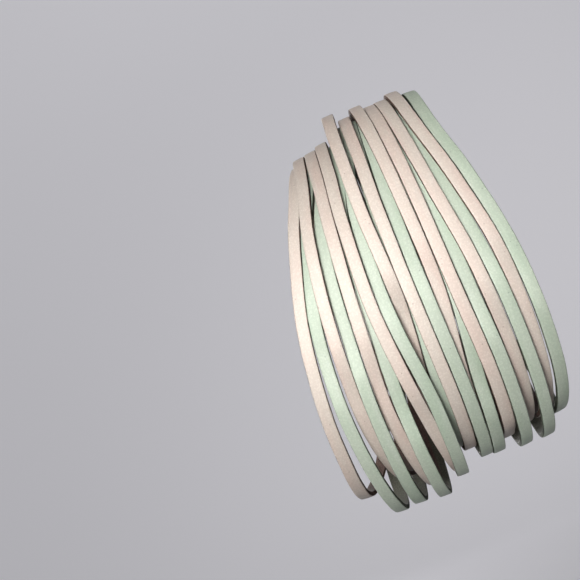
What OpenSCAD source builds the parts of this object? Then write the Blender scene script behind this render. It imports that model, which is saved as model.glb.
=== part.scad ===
// Cord bracelet: twenty flat leather strips in one loop, closed by a plain clasp bar at the back.
// X runs along the wrist, Z up along the long way of the loop, -Y to the front. Millimetres.

/* [Loop] */

// Height of the loop inside, from crown to foot
loop_h = 72.9; // [60:0.1:90]
// Depth of the loop inside, from front to back
loop_d = 45.2; // [38:0.1:70]
// Width of the band of strips where they enter the clasp
band_w = 30.9; // [30.9:0.1:33]
// How far the clasp lies to the right of the middle of the front
clasp_x = 1.5; // [0:0.1:2]

/* [Strips] */

// Width of one leather strip
strip_w = 2.7; // [2:0.05:2.7]
// Thickness of one leather strip
strip_t = 1.1; // [0.8:0.05:1.1]
// Free space between two strips that lie on each other
layer_gap = 0.2; // [0.1:0.05:0.4]
// Steps along the length of a strip
steps = 62; // [48:1:72]

/* [Clasp] */

// Width of the clasp bar, along the wrist
clasp_w = 35; // [34:0.5:42]
// Height of the clasp bar, along the strips
clasp_h = 16; // [12:0.5:22]
// Thickness of the clasp bar
clasp_t = 6.4; // [6:0.1:9]
// Rounding of the long edges of the clasp bar
clasp_r = 2.2; // [0.5:0.1:3]
// How deep the strips go into the clasp bar at each end
slot_deep = 4.2; // [2:0.1:6]
// Widest spacing of the strips of one layer in a slot
slot_pitch = 3.1; // [2.8:0.05:3.1]

/* [Hidden] */

BLUSH = [0.90, 0.80, 0.76];
MINT = [0.72, 0.84, 0.74];
METAL = [0.72, 0.72, 0.74];

layer = strip_t + layer_gap;
// half height and half depth of the loop at the middle of the inner layer
HZ = loop_h / 2 + strip_t / 2;
HY = loop_d / 2 + strip_t / 2;
// the two slots of the clasp leave this much free round the strips
PLAY = 0.3;

// Angles run from the back of the loop over the crown at 90, the front at 180 and the foot at 270.
// angle that a strip takes to change its layer
SWAP = 20;
// where the strips that stand out at the foot come back to the layers of the clasp, and the angle that takes
REAR_SWAP_AT = 334;
REAR_SWAP = 22;
// power of the sine that brings a strip which stands out at the crown or the foot back to the oval
OUT_POWER = 3;

// Columns of the chart. The first seven hold the place of a strip across the band at these angles.
CROWN = 0; // 90, over the crown
UPPER = 1; // 125, below the crown
HIGH = 2; // 150, high on the front
FRONT = 3; // 180, at the front
LOW = 4; // 215, low on the front
FOOT = 5; // 270, at the foot
REAR = 6; // 312, behind the foot
TOP_LAYER = 7; // layer over the crown, 0 inside and 1 outside
FOOT_LAYER = 8; // layer at the foot
TURN = 9; // angle at which the strip changes its layer
CROWN_OUT = 10; // how far its loop stands out beyond the oval at the crown
FOOT_OUT = 11; // how far it stands out beyond the oval at the foot

// The chart of the strips, a row for each, from the left of the band to the right.
CHART = [
    // crown   upper    high   front     low    foot    rear  top foot turn   out: crown foot
    [ -10.60, -13.00, -17.40, -22.85, -25.75, -25.40, -18.70,  0,  0,  200,  -1.10, -1.20 ], // blush 1
    [  -7.74,  -9.95, -14.57, -20.02, -21.80, -19.85, -18.90,  0,  1,  196,  -1.10,  2.95 ], // mint 1
    [  -9.80, -10.75, -13.90, -17.06, -18.62, -15.70, -14.90,  1,  0,  194,  -1.05, -1.90 ], // blush 2
    [  -4.93,  -6.70, -11.40, -14.29, -16.12, -15.40, -13.30,  0,  1,  191,  -0.80,  2.85 ], // mint 2
    [  -6.95,  -7.45,  -9.10, -11.42, -13.35, -10.90, -10.20,  1,  0,  194,  -0.75,  1.60 ], // blush 3
    [  -2.05,  -2.95,  -6.30,  -8.64, -10.52, -10.00,  -8.30,  0,  1,  219,  -0.10,  3.55 ], // mint 3
    [  -4.10,  -4.65,  -6.29,  -7.75,  -6.92,  -5.00,  -5.60,  1,  0,  214,   0.00,  0.90 ], // blush 4
    [   0.75,  -0.22,  -3.38,  -4.99,  -4.04,  -4.94,  -5.20,  0,  1,  178,   2.85,  0.95 ], // mint 4
    [  -0.30,  -1.05,  -1.86,  -2.22,  -4.80,  -4.40,  -2.40,  1, -1,  178,   4.95, -3.45 ], // blush 5
    [   3.62,   2.68,   0.94,   0.56,  -1.95,  -2.90,   0.80,  0,  0,  180,   2.90, -3.55 ], // mint 5
    [   2.75,   2.35,   1.40,   0.57,   0.05,  -1.40,  -1.95,  1,  1,  180,   2.95, -3.65 ], // blush 6
    [   6.44,   5.48,   4.15,   3.37,   2.85,   1.40,   1.00,  0,  1,  172,   3.10, -0.95 ], // mint 6
    [   5.75,   6.60,   6.66,   6.13,   3.20,   2.35,   3.80,  1,  0,  172,   4.25, -1.00 ], // blush 7
    [   9.25,   8.50,   9.28,   8.95,   6.12,   4.15,   4.10,  0,  1,  221,   3.10, -0.60 ], // mint 7
    [   8.53,   9.40,   9.55,   9.20,   9.04,   7.20,   7.30,  1,  0,  245,   3.15, -1.45 ], // blush 8
    [  12.05,  11.55,  12.10,  12.00,  11.80,   9.95,   8.90,  0,  1,  194,   3.10,  0.25 ], // mint 8
    [  11.30,  12.28,  13.25,  14.76,  14.50,  11.75,  11.30,  1,  0,  194,   3.15, -2.60 ], // blush 9
    [  14.84,  14.90,  15.80,  17.55,  17.30,  14.95,  14.20,  0,  1,  180,   3.10,  0.35 ], // mint 9
    [  14.08,  15.70,  18.10,  20.35,  19.45,  15.55,  15.80,  1,  0,  180,   3.85, -2.80 ], // blush 10
    [  17.68,  18.70,  21.05,  23.10,  22.40,  18.95,  19.40,  0,  1,  190,   3.70, -3.50 ]  // mint 10
];
COUNT = len(CHART);

// rank of a strip among those of its layer where it enters the clasp, and its place across the slot there
function row_of(i, end) = max(0, CHART[i][end]);
function before(i, end, row) = i == 0 ? 0 : before(i - 1, end, row) + (row_of(i - 1, end) == row ? 1 : 0);
function slot_x(i, end) = let (row = row_of(i, end), gaps = before(COUNT, end, row) - 1)
    clasp_x + min(slot_pitch, (band_w - strip_w) / gaps) * (before(i, end, row) - gaps / 2);

// a smooth curve through the places of a strip at these angles
AT = [0, 50, 90, 125, 150, 180, 215, 270, 312, 345, 360];
function places(i) = [slot_x(i, TOP_LAYER), slot_x(i, TOP_LAYER), for (k = [CROWN:REAR]) CHART[i][k],
    slot_x(i, FOOT_LAYER), slot_x(i, FOOT_LAYER)];
function slope(p, k) = k == 0 || k == len(AT) - 1 ? 0 : (p[k + 1] - p[k - 1]) / (AT[k + 1] - AT[k - 1]);
function span(a, k = 0) = k == len(AT) - 2 || a < AT[k + 1] ? k : span(a, k + 1);
function curve(p, k, a) = let (h = AT[k + 1] - AT[k], s = (a - AT[k]) / h)
    p[k] * (1 + 2 * s) * (1 - s) * (1 - s) + p[k + 1] * s * s * (3 - 2 * s)
    + h * s * (1 - s) * (slope(p, k) * (1 - s) - slope(p, k + 1) * s);
function across(i, a) = curve(places(i), span(a), a);

// how far out of the inner layer the middle of a strip lies
function ease(a, at, wide) = let (s = max(0, min(1, (a - at) / wide + 0.5))) s * s * (3 - 2 * s);
function level(i, a) = let (c = CHART[i])
    layer * (c[TOP_LAYER] + (c[FOOT_LAYER] - c[TOP_LAYER]) * ease(a, c[TURN], SWAP)
        + (row_of(i, FOOT_LAYER) - c[FOOT_LAYER]) * ease(a, REAR_SWAP_AT, REAR_SWAP))
    + (a < 180 ? c[CROWN_OUT] : c[FOOT_OUT]) * pow(abs(sin(a)), OUT_POWER);

// a point of the loop that lies d out of the middle of the inner layer, as [y, z]
function loop_point(a, d) = let (ny = cos(a) / HY, nz = sin(a) / HZ, n = sqrt(ny * ny + nz * nz))
    [HY * cos(a) + d * ny / n, HZ * sin(a) + d * nz / n];

// the strips start and end inside the clasp bar, free of the floor of its slots
FIRST = asin((clasp_h / 2 - slot_deep + PLAY) / HZ);
function angle_at(k) = FIRST + (360 - 2 * FIRST) * k / steps;

function corners(i, a) = let (x = across(i, a), lo = loop_point(a, level(i, a) - strip_t / 2),
    hi = loop_point(a, level(i, a) + strip_t / 2), w = strip_w / 2)
    [[x - w, lo[0], lo[1]], [x + w, lo[0], lo[1]], [x + w, hi[0], hi[1]], [x - w, hi[0], hi[1]]];

// One strip: a flat rectangular leather section swept along its row of the chart.
module strip(i) {
    points = [for (k = [0:steps]) each corners(i, angle_at(k))];
    sides = [for (k = [0:steps - 1], j = [0:3]) let (p = 4 * k + j, n = 4 * k + (j + 1) % 4)
        each [[p, p + 4, n + 4], [p, n + 4, n]]];
    polyhedron(points, concat([[0, 1, 2, 3]], sides, [[for (j = [3:-1:0]) 4 * steps + j]]));
}

module blush_strip(n) color(BLUSH) strip(2 * n - 2);
module mint_strip(n) color(MINT) strip(2 * n - 1);

module blush_strip_1() blush_strip(1);
module blush_strip_2() blush_strip(2);
module blush_strip_3() blush_strip(3);
module blush_strip_4() blush_strip(4);
module blush_strip_5() blush_strip(5);
module blush_strip_6() blush_strip(6);
module blush_strip_7() blush_strip(7);
module blush_strip_8() blush_strip(8);
module blush_strip_9() blush_strip(9);
module blush_strip_10() blush_strip(10);
module mint_strip_1() mint_strip(1);
module mint_strip_2() mint_strip(2);
module mint_strip_3() mint_strip(3);
module mint_strip_4() mint_strip(4);
module mint_strip_5() mint_strip(5);
module mint_strip_6() mint_strip(6);
module mint_strip_7() mint_strip(7);
module mint_strip_8() mint_strip(8);
module mint_strip_9() mint_strip(9);
module mint_strip_10() mint_strip(10);

// Plain clasp bar: rounded along its long edges, with a slot above and below that takes both layers of strips.
SLOT_IN = HY * cos(asin(clasp_h / 2 / HZ)) - strip_t / 2 - PLAY;
SLOT_OUT = HY + layer + strip_t / 2 + PLAY;
module slot(end)
    translate([clasp_x, (SLOT_IN + SLOT_OUT) / 2, end * clasp_h / 2])
        cube([band_w + 2 * PLAY, SLOT_OUT - SLOT_IN, 2 * slot_deep], center = true);
module clasp()
    color(METAL)
    difference() {
        translate([clasp_x - clasp_w / 2, (SLOT_IN + SLOT_OUT) / 2, 0]) rotate([90, 0, 90])
            linear_extrude(clasp_w) offset(clasp_r, $fn = 32)
                square([clasp_t - 2 * clasp_r, clasp_h - 2 * clasp_r], center = true);
        slot(1);
        slot(-1);
    }

blush_strip_1();
blush_strip_2();
blush_strip_3();
blush_strip_4();
blush_strip_5();
blush_strip_6();
blush_strip_7();
blush_strip_8();
blush_strip_9();
blush_strip_10();
mint_strip_1();
mint_strip_2();
mint_strip_3();
mint_strip_4();
mint_strip_5();
mint_strip_6();
mint_strip_7();
mint_strip_8();
mint_strip_9();
mint_strip_10();
clasp();
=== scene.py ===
"""The looks of a leather strip bracelet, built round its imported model: metres, in the model's own frame."""
import math

import bmesh
import bpy
import numpy as np
from mathutils import Matrix, Vector


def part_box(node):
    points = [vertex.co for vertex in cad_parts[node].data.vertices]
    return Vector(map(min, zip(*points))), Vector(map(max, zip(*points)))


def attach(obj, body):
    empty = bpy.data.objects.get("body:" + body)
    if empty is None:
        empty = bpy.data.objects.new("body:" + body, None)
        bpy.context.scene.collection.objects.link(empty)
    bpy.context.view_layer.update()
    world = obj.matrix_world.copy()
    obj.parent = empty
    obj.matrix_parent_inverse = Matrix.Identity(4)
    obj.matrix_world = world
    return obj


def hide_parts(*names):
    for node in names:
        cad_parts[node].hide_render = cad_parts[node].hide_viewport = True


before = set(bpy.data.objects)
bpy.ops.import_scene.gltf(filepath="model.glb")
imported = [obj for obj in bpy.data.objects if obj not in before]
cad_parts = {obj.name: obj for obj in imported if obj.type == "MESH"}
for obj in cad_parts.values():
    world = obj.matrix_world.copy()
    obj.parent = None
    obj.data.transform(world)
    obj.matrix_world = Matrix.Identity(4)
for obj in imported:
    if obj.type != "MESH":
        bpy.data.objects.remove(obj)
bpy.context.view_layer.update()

MM = 0.001

# Section of a strip
EDGE_ROUND = 0.22 * MM  # rounding of the edges of the coated face
BACK_ROUND = 0.09 * MM  # rounding of the edges of the back
DOME = 0.035 * MM  # how far the coated face is domed
FACE_POINTS = 9  # points across the coated face
BACK_POINTS = 5  # points across the back
ARC_POINTS = 4  # points round each edge
COAT, RAW, BACK = range(3)  # material of each face of a strip

# Course of a strip: it strays a little from its solid, in waves between a shortest and a longest length
STRIPS_EACH = 10  # strips of each colour
STATIONS = 380  # sections along a strip
WAVES_MIXED = 5  # waves of different lengths that are added up
STILL_END = 12 * MM  # how far from its ends a strip is before it strays in full
TRIM = 0.06 * MM  # how far a cut edge wanders inward
TRIM_LENGTHS = (2.5 * MM, 20 * MM)
SPARE = 0.03 * MM  # how much wider a strip is on each side before its edges are trimmed
WAVE = 0.045 * MM  # how far a strip waves in and out
WAVE_LENGTHS = (9 * MM, 45 * MM)
ROLL = math.radians(1.5)  # how far a strip rolls to and fro about its own length
ROLL_LENGTHS = (14 * MM, 60 * MM)
LEAN = math.radians(6)  # how far the outermost strips turn their faces away from the middle of the band
LEAN_AT = 23 * MM  # how far from the middle they lie
SIDEWAYS = np.array([1.0, 0, 0])  # along the wrist
MERGE = 0.001 * MM  # corners of a solid nearer than this are one

# Colours of the leathers. Coat: main, warm, cool and dark, the dark one also painting shade in the hollows of
# the pebbled grain. Edge and back: deep and light.
LEATHERS = {
    "blush": {
        "coat": ("#D6CCC1", "#D6C5BA", "#D8D2C8", "#8D7468"),
        "edge": ("#40302A", "#7C6255"),
        "back": ("#55433D", "#8A7066"),
    },
    "mint": {
        "coat": ("#BEC8B7", "#B4C2AE", "#C8D0C2", "#66796A"),
        "edge": ("#33382E", "#666C5A"),
        "back": ("#4A4B42", "#7A7A6C"),
    },
}

# Wear of the coat, by distance from the middle of the strip
WORN_FROM = 1.24 * MM  # the coat begins to be rubbed dark
WORN_TO = 1.38 * MM  # it is rubbed most
WORN_RAGGED = 0.09 * MM  # how far that line strays either way
NICKS_FROM = 0.75 * MM  # nicks begin to be stronger
NICKS_TO = 1.15 * MM  # they are strongest

# Clasp
CLASP_ROUND = 2.2 * MM  # rounding of its long edges, as in the model
CLASP_ROUND_STEPS = 10
CLASP_END_ROUND = 0.55 * MM  # rounding of the edges of its two ends
CLASP_END_STEPS = 5
SLOT_DEEP = 4.2 * MM  # depth of the slot at the top and at the bottom, as in the model
SLOT_THICK = 3.55 * MM
SLOT_WIDE = 31.5 * MM
SOFTEN = 0.18 * MM  # rounding of the edges that are left sharp, as round the slots
SOFTEN_STEPS = 3
SOFTEN_ANGLE = math.radians(40)  # an edge that turns more than this is softened
SMOOTH_ANGLE = math.radians(35)  # one that turns less than this is shaded smooth
CLASP_LIGHT = "#A9A7A3"
CLASP_CLOUD = "#9D9B98"

# Camera: in front of the loop and level with its middle, turned a little aside, and rolled
CAMERA_AT = Vector((0, -280 * MM, 0))
CAMERA_AIM = Vector((-23.3 * MM, 0, 12.3 * MM))
CAMERA_ROLL = math.radians(24)
LENS = 79  # millimetres
SENSOR = 36  # millimetres
CLIP_START = 10 * MM

# Studio: a round bowl in metres, with a flat floor, a curve and a wall
FLOOR_Z = -0.16
BOWL_FLAT = 0.55  # radius of the flat floor
BOWL_CURVE = 0.45  # radius of the curve
BOWL_TOP = 1.3
BOWL_CURVE_POINTS = 13
BOWL_STEPS = 96  # sides round the bowl
BOWL_MERGE = 0.01 * MM
GROUND_COLOR = "#CFCED3"
GLOW = 0.45  # strength of the ground's glow
PAINTED_SHADOW_SHARE = 0.2  # share of it under the bracelet, where it paints a soft shadow
GLOW_FROM = 0.12  # distance from the middle to which that share, the painted shadow, holds
GLOW_TO = 0.50  # distance from which it glows in full
AIR_COLOR = "#CFCFD6"  # faint even light from all round
AIR_STRENGTH = 0.09


def smooth(points, count):
    """Points at even steps on the smooth curve through the given ones."""
    t = np.linspace(0, len(points) - 1, count)
    k = np.minimum(t.astype(int), len(points) - 2)
    s = (t - k)[:, None]
    p = np.vstack([2 * points[0] - points[1], points, 2 * points[-1] - points[-2]])
    a, b, c, d = p[k], p[k + 1], p[k + 2], p[k + 3]
    return b + s * ((c - a) + s * ((2 * a - 5 * b + 4 * c - d) + s * (3 * b - a - 3 * c + d))) / 2


def rings_of(node):
    """The four corners of each section of a strip's solid, from its upper end round to its lower end."""
    mesh = bmesh.new()
    mesh.from_mesh(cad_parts[node].data)
    bmesh.ops.remove_doubles(mesh, verts=mesh.verts, dist=MERGE)
    upper = [v for v in mesh.verts if v.co.y > 0 and v.co.z > 0]
    ring = sorted(upper, key=lambda v: v.co.z)[:4]
    rings = []
    seen = set()
    while ring:
        rings.append([np.array(v.co) for v in ring])
        seen.update(ring)
        ring = list({e.other_vert(v) for v in ring for e in v.link_edges} - seen)
    mesh.free()
    return rings


def path_of(node):
    """Middle line of a strip, the way out of its face, its half width and its half thickness."""
    middles = []
    outs = []
    for ring in rings_of(node):
        inner_1, inner_2, outer_1, outer_2 = sorted(ring, key=lambda p: math.hypot(p[1], p[2]))
        middles.append(sum(ring) / 4)
        outs.append((outer_1 + outer_2 - inner_1 - inner_2) / 2)
    half_thick = np.linalg.norm(outs[0]) / 2
    half_wide = (max(p[0] for p in ring) - min(p[0] for p in ring)) / 2
    middle = smooth(np.array(middles), STATIONS)
    out = smooth(np.array(outs), STATIONS)
    return middle, out / np.linalg.norm(out, axis=1)[:, None], half_wide, half_thick


def arc(x, z, radius, first, last):
    """Points round one edge of a strip's section, angles in degrees."""
    angles = np.radians(np.linspace(first, last, ARC_POINTS))
    return [(x + radius * math.sin(a), z + radius * math.cos(a)) for a in angles]


def section(half_wide, half_thick):
    """A strip's section as (across, out) points, and the material of the face after each."""
    w, t = half_wide - EDGE_ROUND, half_thick - DOME - EDGE_ROUND
    wb, tb = half_wide - BACK_ROUND, half_thick - BACK_ROUND
    face = [(x * w, half_thick - DOME * x * x) for x in np.linspace(-1, 1, FACE_POINTS)[1:-1]]
    back = [(x * wb, -half_thick) for x in np.linspace(1, -1, BACK_POINTS)[1:-1]]
    points = face + arc(w, t, EDGE_ROUND, 0, 90) + arc(wb, -tb, BACK_ROUND, 90, 180)
    points += back + arc(-wb, -tb, BACK_ROUND, 180, 270) + arc(-w, t, EDGE_ROUND, 270, 360)
    slots = [COAT] * (len(face) + ARC_POINTS - 2) + [RAW] * 2 + [BACK] * (2 * ARC_POINTS + len(back) - 1)
    slots += [RAW] * 2 + [COAT] * (ARC_POINTS - 1)
    return np.array(points), slots


def wander(rng, along, lengths):
    """A smooth random wave along a strip, from -1 to 1, of waves between the two lengths."""
    shortest, longest = lengths
    total = np.zeros_like(along)
    for length in np.geomspace(longest, shortest, WAVES_MIXED):
        total += math.sqrt(length / longest) * np.sin(2 * math.pi * (along / length + rng.random()))
    return total / np.abs(total).max()


def tube_faces(count):
    """Faces of a closed tube through STATIONS rings of count points each, its two ends last."""
    faces = []
    for here in range(0, (STATIONS - 1) * count, count):
        there = here + count
        for j in range(count):
            n = (j + 1) % count
            faces.append((here + j, there + j, there + n, here + n))
    last = (STATIONS - 1) * count
    faces.append(tuple(range(count)))
    faces.append(tuple(range(last + count - 1, last - 1, -1)))
    return faces


def strip_mesh(node, seed):
    """The fine mesh of one strip: rounded edges, a domed face, and the small unevenness of cut leather."""
    rng = np.random.default_rng(seed)
    middle, out, half_wide, half_thick = path_of(node)
    along = np.concatenate([[0], np.cumsum(np.linalg.norm(np.diff(middle, axis=0), axis=1))])
    free = np.clip(np.minimum(along, along[-1] - along) / STILL_END, 0, 1)[:, None]
    lean = -LEAN * middle[STATIONS // 2][0] / LEAN_AT
    roll = (lean + ROLL * wander(rng, along, ROLL_LENGTHS)[:, None]) * free
    middle = middle + out * WAVE * wander(rng, along, WAVE_LENGTHS)[:, None] * free
    side = SIDEWAYS * np.cos(roll) + out * np.sin(roll)
    out = out * np.cos(roll) - SIDEWAYS * np.sin(roll)
    points, slots = section(half_wide + SPARE, half_thick)
    trims = [TRIM * (1 + wander(rng, along, TRIM_LENGTHS)) / 2 for _ in range(2)]
    rows = []
    for x, z in points:
        trim = trims[0] if x < 0 else trims[1]
        width = x * (1 - trim / half_wide)
        rows.append(middle + side * width[:, None] + out * z)
    places = np.stack(rows, axis=1).reshape(-1, 3)
    count = len(points)
    faces = tube_faces(count)
    mesh = bpy.data.meshes.new(node)
    mesh.from_pydata(places.tolist(), [], faces)
    mesh.polygons.foreach_set("material_index", slots * (STATIONS - 1) + [RAW, RAW])
    mesh.polygons.foreach_set("use_smooth", [True] * (len(faces) - 2) + [False] * 2)
    fields = {
        "along": np.repeat(along, count),
        "across": np.tile(points[:, 0], STATIONS),
        "tone": np.full(STATIONS * count, rng.random()),
    }
    for name, values in fields.items():
        mesh.attributes.new(name, "FLOAT", "POINT").data.foreach_set("value", values.astype(np.float32))
    mesh.validate()
    return mesh


def rgb(text):
    """A colour written as in a paint program, as linear values with alpha."""
    values = [int(text[i : i + 2], 16) / 255 for i in (1, 3, 5)]
    return (*[v / 12.92 if v <= 0.04045 else ((v + 0.055) / 1.055) ** 2.4 for v in values], 1)


class Nodes:
    """Short ways to make the nodes of one material."""

    def __init__(self, name):
        self.material = bpy.data.materials.new(name)
        self.material.use_nodes = True
        self.tree = self.material.node_tree
        self.shader = self.tree.nodes["Principled BSDF"]

    def put(self, kind, inputs=(), **settings):
        """A node with settings, and inputs by name or place, each a value or another node's output."""
        node = self.tree.nodes.new("ShaderNode" + kind)
        for name, value in settings.items():
            setattr(node, name, value)
        for key, value in dict(inputs).items():
            self.feed(node.inputs[key], value)
        return node

    def set(self, **values):
        """Inputs of the shader, with underlines for spaces."""
        for key, value in values.items():
            self.feed(self.shader.inputs[key.replace("_", " ")], value)

    def feed(self, socket, value):
        """Gives a socket a value, or links it where the value is another node's output."""
        if isinstance(value, bpy.types.NodeSocket):
            self.tree.links.new(value, socket)
        else:
            socket.default_value = value

    def field(self, name):
        """A value that each point of the mesh carries."""
        return self.put("Attribute", attribute_name=name).outputs["Fac"]

    def math(self, operation, a, b=0.0):
        """The result of one operation on one or two values."""
        return self.put("Math", {0: a, 1: b}, operation=operation).outputs[0]

    def ramp(self, value, low, high, to_low=0.0, to_high=1.0):
        """value taken from low..high to to_low..to_high, and held there."""
        made = self.put("MapRange", {0: value, 1: low, 2: high, 3: to_low, 4: to_high})
        return made.outputs[0]

    def mix(self, share, a, b):
        """Colour a with colour b laid over it, as much as the share says."""
        made = self.put("Mix", {0: share, 6: a, 7: b}, data_type="RGBA")
        return made.outputs[2]

    def noise(self, place, scale, detail, rough=0.55):
        """Smooth noise with about scale waves to the metre, and finer ones by detail."""
        made = self.put("TexNoise", {"Vector": place, "Scale": scale, "Detail": detail, "Roughness": rough})
        return made.outputs["Fac"]

    def specks(self, place, scale, radius, kept):
        """1 inside small round specks, of which the share kept is shown."""
        cells = self.put("TexVoronoi", {"Vector": place, "Scale": scale})
        chance = self.put("SeparateColor", {0: cells.outputs["Color"]}).outputs[0]
        chosen = self.math("LESS_THAN", chance, kept)
        return self.math("MULTIPLY", self.ramp(cells.outputs["Distance"], radius, radius * 0.5), chosen)

    def strip_place(self, stretch):
        """A place along and across the strip, squeezed so that what it carries is drawn out lengthways."""
        along = self.math("MULTIPLY", self.field("along"), 1 / stretch)
        return self.put("CombineXYZ", {0: along, 1: self.field("across"), 2: self.field("tone")}).outputs[0]

    def bump(self, height, distance, strength=1.0, under=None, invert=True):
        """Relief that sinks where height is more, or rises there if invert is off."""
        inputs = {"Height": height, "Distance": distance, "Strength": strength}
        if under is not None:
            inputs["Normal"] = under
        return self.put("Bump", inputs, invert=invert).outputs[0]


def coated(name, main, warm, cool, dark):
    """Coated leather face: satin and a little pearly, with fine grain, faint streaks, a few specks, and
    painted shade in the hollows of its pebbled grain.
    """
    n = Nodes(name)
    even = n.strip_place(1)
    drawn = n.strip_place(5)
    cloud = n.noise(drawn, scale=190, detail=2)
    color = n.mix(n.ramp(cloud, 0.42, 0.66), main, warm)
    streaks = n.noise(drawn, scale=700, detail=2)
    color = n.mix(n.ramp(streaks, 0.5, 0.72, 0, 0.45), color, cool)
    grain = n.noise(even, scale=5200, detail=4, rough=0.7)
    color = n.mix(n.ramp(grain, 0.35, 0.75, 0.0, 0.10), color, dark)
    specks = n.specks(even, scale=900, radius=0.17, kept=0.14)
    color = n.mix(n.math("MULTIPLY", specks, 0.5), color, dark)
    wide = n.math("ABSOLUTE", n.field("across"))
    ragged = n.ramp(n.noise(even, scale=2400, detail=3), 0.3, 0.7, -WORN_RAGGED, WORN_RAGGED)
    worn = n.math("ADD", wide, ragged)
    color = n.mix(n.ramp(worn, WORN_FROM, WORN_TO, 0.0, 0.5), color, dark)
    cells = n.put("TexVoronoi", {"Vector": even, "Scale": 2300, "Smoothness": 0.6}, feature="SMOOTH_F1")
    pebbles = cells.outputs["Distance"]
    # painted shade: the hollows between the pebbles are darkened, as the shade of the relief would darken
    # them
    color = n.mix(n.ramp(pebbles, 0.15, 0.55, 0.0, 0.17), color, dark)
    scuffs = n.specks(even, scale=1500, radius=0.30, kept=0.45)
    nicks = n.math("MULTIPLY", scuffs, n.ramp(wide, NICKS_FROM, NICKS_TO, 0.12, 0.75))
    color = n.mix(nicks, color, cool)
    relief = n.bump(nicks, 0.03 * MM, 0.8)
    relief = n.bump(pebbles, 0.035 * MM, 0.8, relief)
    relief = n.bump(grain, 0.03 * MM, 0.6, relief)
    relief = n.bump(n.noise(drawn, scale=260, detail=2), 0.06 * MM, 0.5, relief)
    n.set(
        Base_Color=color,
        Metallic=0.38,
        Roughness=n.ramp(grain, 0.3, 0.7, 0.66, 0.78),
        Specular_IOR_Level=0.9,
        Coat_Weight=0.8,
        Coat_Roughness=0.53,
        Normal=relief,
    )
    return n.material


def raw_edge(name, deep, light):
    """Cut edge of the leather: dark and dull, with fibres drawn out along the strip."""
    n = Nodes(name)
    fibres = n.noise(n.strip_place(7), scale=2600, detail=4, rough=0.65)
    tufts = n.noise(n.strip_place(1), scale=3800, detail=3, rough=0.6)
    color = n.mix(n.ramp(fibres, 0.38, 0.72), deep, light)
    relief = n.bump(tufts, 0.05 * MM, 0.6, n.bump(fibres, 0.05 * MM, 0.7))
    n.set(Base_Color=color, Roughness=0.85, Specular_IOR_Level=0.25, Normal=relief)
    return n.material


def suede_back(name, deep, light):
    """Unfinished back of the leather: short matted fibres over a mottled ground."""
    n = Nodes(name)
    place = n.strip_place(1.6)
    fibres = n.noise(place, scale=4200, detail=5, rough=0.7)
    mottle = n.noise(place, scale=650, detail=3)
    color = n.mix(n.ramp(fibres, 0.36, 0.7), deep, light)
    color = n.mix(n.ramp(mottle, 0.4, 0.7, 0, 0.5), color, deep)
    relief = n.bump(mottle, 0.08 * MM, 0.5, n.bump(fibres, 0.06 * MM, 0.7))
    n.set(
        Base_Color=color,
        Roughness=0.95,
        Specular_IOR_Level=0.2,
        Sheen_Weight=0.25,
        Sheen_Roughness=0.6,
        Normal=relief,
    )
    return n.material


def satin_metal(name):
    """Silver-coloured clasp metal, brushed along its length."""
    n = Nodes(name)
    place = n.put("TexCoord").outputs["Object"]
    drawn = n.put("Mapping", {"Vector": place, "Scale": (0.03, 1, 1)}).outputs[0]
    brushed = n.noise(drawn, scale=9000, detail=3, rough=0.6)
    cloud = n.noise(place, scale=140, detail=3)
    color = n.mix(n.ramp(cloud, 0.4, 0.7), rgb(CLASP_LIGHT), rgb(CLASP_CLOUD))
    n.set(
        Base_Color=color,
        Metallic=1.0,
        Roughness=n.ramp(brushed, 0.3, 0.7, 0.30, 0.46),
        Normal=n.bump(brushed, 0.006 * MM, 0.5, invert=False),
    )
    return n.material


def leather(finish):
    """The three surfaces of a strip, in the order of COAT, RAW and BACK."""
    colors = LEATHERS[finish]
    return (
        coated(f"{finish}_coat", *map(rgb, colors["coat"])),
        raw_edge(f"{finish}_edge", *map(rgb, colors["edge"])),
        suede_back(f"{finish}_back", *map(rgb, colors["back"])),
    )


def add_strips():
    """One piece for each strip of the model, with its three leather surfaces."""
    for first, finish in enumerate(LEATHERS):
        surfaces = leather(finish)
        for number in range(1, STRIPS_EACH + 1):
            node = f"{finish}_strip_{number}"
            mesh = strip_mesh(node, seed=first + 2 * number)
            for material in surfaces:
                mesh.materials.append(material)
            piece = bpy.data.objects.new(f"leather_{node}", mesh)
            bpy.context.scene.collection.objects.link(piece)
            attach(piece, "root")
            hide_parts(node)


def box_mesh(low, high):
    """A plain box between two corners, which is worked on before it is shown."""
    mesh = bmesh.new()
    bmesh.ops.create_cube(mesh, size=1)
    place = Matrix.Translation((low + high) / 2) @ Matrix.Diagonal((*(high - low), 1))
    bmesh.ops.transform(mesh, verts=mesh.verts, matrix=place)
    return mesh


def as_object(mesh, name):
    """A linked object of the mesh, which is used up."""
    data = bpy.data.meshes.new(name)
    mesh.to_mesh(data)
    mesh.free()
    made = bpy.data.objects.new(name, data)
    bpy.context.scene.collection.objects.link(made)
    return made


def run(edge):
    """How far an edge runs along the wrist."""
    return abs((edge.verts[0].co - edge.verts[1].co).x)


def rounded_bar(low, high):
    """The clasp bar before its slots are cut, rounded along its length and then at its ends."""
    bar = box_mesh(low, high)
    long_edges = [e for e in bar.edges if run(e) > 1 * MM]
    bmesh.ops.bevel(
        bar, geom=long_edges, offset=CLASP_ROUND, segments=CLASP_ROUND_STEPS, profile=0.5, affect="EDGES"
    )
    end_edges = [e for e in bar.edges if run(e) < 0.01 * MM]
    bmesh.ops.bevel(
        bar, geom=end_edges, offset=CLASP_END_ROUND, segments=CLASP_END_STEPS, profile=0.5, affect="EDGES"
    )
    return as_object(bar, "clasp_bar")


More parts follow.
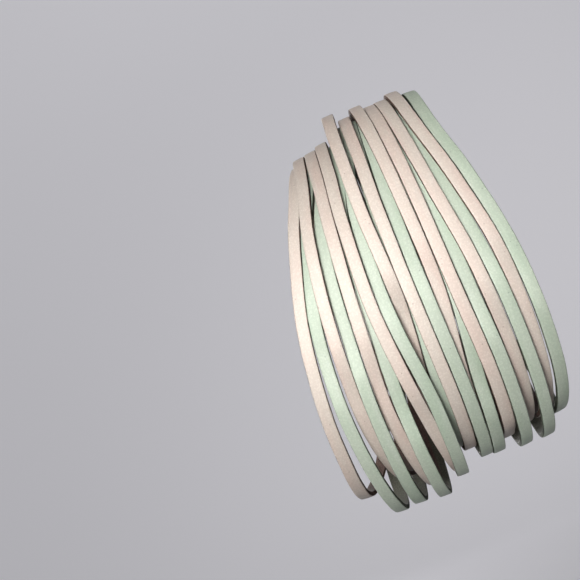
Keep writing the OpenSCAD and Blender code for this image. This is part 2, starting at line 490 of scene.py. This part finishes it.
def add_clasp():
    """The clasp bar: softly rounded all over, with a slot above and below for the strips."""
    low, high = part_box("clasp")
    piece = rounded_bar(low, high)
    middle = (low + high) / 2
    reach = Vector((SLOT_WIDE / 2, SLOT_THICK / 2, SLOT_DEEP))
    cutters = []
    for face in (high.z, low.z):
        centre = Vector((middle.x, middle.y, face))
        cutters.append(as_object(box_mesh(centre - reach, centre + reach), "slot"))
        cut = piece.modifiers.new("slot", "BOOLEAN")
        cut.object = cutters[-1]
        cut.solver = "EXACT"
    soften = piece.modifiers.new("soften", "BEVEL")
    soften.width = SOFTEN
    soften.segments = SOFTEN_STEPS
    soften.limit_method = "ANGLE"
    soften.angle_limit = SOFTEN_ANGLE
    bpy.context.view_layer.update()
    done = bpy.data.meshes.new_from_object(piece.evaluated_get(bpy.context.evaluated_depsgraph_get()))
    piece.modifiers.clear()
    piece.data = done
    for cutter in cutters:
        bpy.data.objects.remove(cutter)
    done.shade_smooth()
    done.set_sharp_from_angle(angle=SMOOTH_ANGLE)
    done.materials.clear()
    done.materials.append(satin_metal("clasp_metal"))
    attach(piece, "root")
    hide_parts("clasp")


def pale_ground(name, color):
    """Matt pale paper that glows a little, so that it is pale from every side, but less under the loop, where
    a soft shadow is painted.
    """
    n = Nodes(name)
    place = n.put("TexCoord").outputs["Object"]
    flat = n.put("VectorMath", {0: place, 1: (1, 1, 0)}, operation="MULTIPLY").outputs["Vector"]
    away = n.put("VectorMath", {0: flat}, operation="LENGTH").outputs["Value"]
    n.set(
        Base_Color=color,
        Roughness=0.9,
        Specular_IOR_Level=0.2,
        Emission_Color=color,
        # painted shadow: the glow falls to a share of itself under the loop
        Emission_Strength=n.ramp(away, GLOW_FROM, GLOW_TO, PAINTED_SHADOW_SHARE * GLOW, GLOW),
    )
    return n.material


def add_bowl():
    """A seamless pale floor that curves up into a wall all round, and whose glow lights nothing."""
    profile = [(0.0, FLOOR_Z), (BOWL_FLAT, FLOOR_Z)]
    for a in np.radians(np.linspace(0, 90, BOWL_CURVE_POINTS))[1:]:
        profile.append((BOWL_FLAT + BOWL_CURVE * math.sin(a), FLOOR_Z + BOWL_CURVE * (1 - math.cos(a))))
    profile.append((BOWL_FLAT + BOWL_CURVE, BOWL_TOP))
    mesh = bmesh.new()
    edge = [mesh.verts.new((r, 0, z)) for r, z in profile]
    geometry = edge + [mesh.edges.new(pair) for pair in zip(edge, edge[1:])]
    bmesh.ops.spin(
        mesh, geom=geometry, cent=(0, 0, 0), axis=(0, 0, 1), angle=2 * math.pi, steps=BOWL_STEPS
    )
    bmesh.ops.remove_doubles(mesh, verts=mesh.verts, dist=BOWL_MERGE)
    bmesh.ops.recalc_face_normals(mesh, faces=mesh.faces)
    bowl = as_object(mesh, "floor")
    bowl.data.shade_smooth()
    bowl.data.materials.append(pale_ground("floor", rgb(GROUND_COLOR)))
    bowl.visible_diffuse = False


def add_light(name, place, aim, size, power, spread=180, color=(1, 1, 1)):
    """A round lamp that the camera doesn't see: metres, watts, and its spread in degrees."""
    light = bpy.data.lights.new(name, "AREA")
    light.shape = "DISK"
    light.size = size
    light.energy = power
    light.spread = math.radians(spread)
    light.color = color
    made = bpy.data.objects.new(name, light)
    made.location = place
    made.rotation_euler = (Vector(aim) - Vector(place)).to_track_quat("-Z", "Y").to_euler()
    made.visible_camera = False
    bpy.context.scene.collection.objects.link(made)


def add_studio():
    """The ground, the lamps and a faint even light from all round."""
    add_bowl()
    bracelet = (0, 0, 0)
    add_light(
        "key", (-0.095, -0.42, 0.09), bracelet, size=0.21, power=0.22, spread=45, color=(1.0, 0.985, 0.965)
    )
    add_light("soft", (-0.14, -0.45, 0.38), bracelet, size=0.45, power=0.04, spread=70)
    add_light("rear", (-0.25, 0.62, 0.04), bracelet, size=0.35, power=0.5, spread=60)
    add_light("wall", (0.0, 0.35, 0.50), (0, 1, 0.33), size=0.5, power=1.6)
    world = bpy.data.worlds.new("studio")
    world.use_nodes = True
    air = world.node_tree.nodes["Background"]
    air.inputs["Color"].default_value = rgb(AIR_COLOR)
    air.inputs["Strength"].default_value = AIR_STRENGTH
    bpy.context.scene.world = world
    bpy.context.scene.view_settings.view_transform = "Standard"


def add_camera():
    """The camera, aimed and then rolled."""
    data = bpy.data.cameras.new("camera")
    data.lens = LENS
    data.sensor_width = SENSOR
    data.clip_start = CLIP_START
    camera = bpy.data.objects.new("camera", data)
    back = (CAMERA_AT - CAMERA_AIM).normalized()
    up = Vector((math.sin(CAMERA_ROLL), 0, math.cos(CAMERA_ROLL)))
    right = up.cross(back).normalized()
    turned = Matrix((right, back.cross(right), back)).transposed()
    camera.matrix_world = Matrix.Translation(CAMERA_AT) @ turned.to_4x4()
    bpy.context.scene.collection.objects.link(camera)
    bpy.context.scene.camera = camera


add_strips()
add_clasp()
add_studio()
add_camera()
